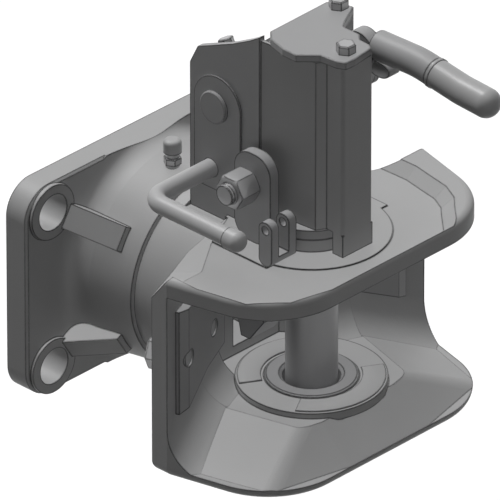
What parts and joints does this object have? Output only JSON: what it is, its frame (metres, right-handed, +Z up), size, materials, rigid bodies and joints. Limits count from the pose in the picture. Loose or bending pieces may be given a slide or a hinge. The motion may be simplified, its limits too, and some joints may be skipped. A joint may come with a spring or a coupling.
{
  "type": "rotatable automatic towing jaw",
  "caption": "Flange-mounted automatic towing jaw that turns about its drawbar axis, with a flared catching mouth, a lifting coupling pin, a hand lever and a release rod.",
  "frame": {"origin": "centre of the flange's four-hole pattern on its mounting face", "axes": "+Z up along the coupling pin, -Y out of the mouth towards the trailer, +Y into the towing vehicle, +X to the right seen from the trailer"},
  "size_m": [0.209, 0.2588, 0.2615],
  "materials": {
    "cast_body": "satin grey paint over cast iron",
    "plate": "satin grey paint on sheet",
    "bare_steel": "machined, lightly oiled",
    "fastener": "zinc plated",
    "grip": "dipped grip",
    "bush": "dull bearing metal"
  },
  "bodies": {
    "flange": {"flange_housing": "cast_body", "bearing_bush": "bush", "rear_washer": "bare_steel", "thrust_ring": "bush", "grease_nipple": "fastener", "nipple_cap": "grip"},
    "jaw": {"jaw_casting": "cast_body", "castle_nut": "fastener", "split_pin": "fastener", "lower_bush": "bare_steel", "pin_guide": "bare_steel", "left_pad": "plate", "right_pad": "plate", "pad_screws": "fastener", "tower_base": "plate", "tower_cover": "cast_body", "left_panel": "plate", "right_panel": "plate", "rear_cover": "plate", "rear_screws": "fastener", "arch_plate": "plate", "lid": "plate", "lid_screws": "fastener", "bracket_plate": "plate", "bracket_stud": "fastener", "bracket_nut": "fastener", "fork_lug": "plate", "closing_spring": "bare_steel", "trigger_pin": "bare_steel"},
    "pin": {"coupling_pin": "bare_steel", "crosshead": "bare_steel"},
    "lift": {"lift_shaft": "bare_steel", "lift_arm": "bare_steel", "lift_rollers": "bare_steel", "outer_crank": "plate", "shaft_cap": "fastener"},
    "lever": {"hand_lever": "plate", "lever_grip": "grip", "lever_crank_pin": "fastener"},
    "link": {"lift_link": "plate"},
    "release": {"release_rod": "bare_steel", "rod_sleeve": "grip"},
    "trigger": {"trigger": "bare_steel"}
  },
  "joints": [
    {"name": "jaw_turn", "type": "hinge", "parent": "flange", "child": "jaw", "pos_m": [0, -0.04, 0], "axis": [0, -1, 0], "continuous": true},
    {"name": "lever_lift", "type": "hinge", "parent": "jaw", "child": "lever", "pos_m": [0.0237, -0.1595, 0.17], "axis": [-1, 0, 0], "range_deg": [0, 88.85]},
    {"name": "lift_turn", "type": "hinge", "parent": "jaw", "child": "lift", "pos_m": [0, -0.09, 0.1236], "axis": [-1, 0, 0], "range_deg": [0, 88.86]},
    {"name": "link_swing", "type": "hinge", "parent": "lever", "child": "link", "pos_m": [0.0303, -0.15636, 0.15025], "axis": [-1, 0, 0], "range_deg": [-88.86, 0]},
    {"name": "pin_slide", "type": "slide", "parent": "jaw", "child": "pin", "axis": [0, 0, 1], "range_m": [0, 0.08401]},
    {"name": "release_turn", "type": "hinge", "parent": "jaw", "child": "release", "pos_m": [-0.02, -0.0865, 0.0831], "axis": [-1, 0, 0], "range_deg": [0, 45]},
    {"name": "trigger_swing", "type": "hinge", "parent": "jaw", "child": "trigger", "pos_m": [0, -0.095, 0.02], "axis": [1, 0, 0], "range_deg": [0, 20], "stiffness_Nm_per_rad": 0.6}
  ],
  "couplings": [
    {"joint": "lift_turn", "follows": "lever_lift", "ratio": 1},
    {"joint": "link_swing", "follows": "lever_lift", "ratio": -1},
    {"joint": "pin_slide", "follows": "lever_lift", "m_per_rad": 0.054166}
  ]
}
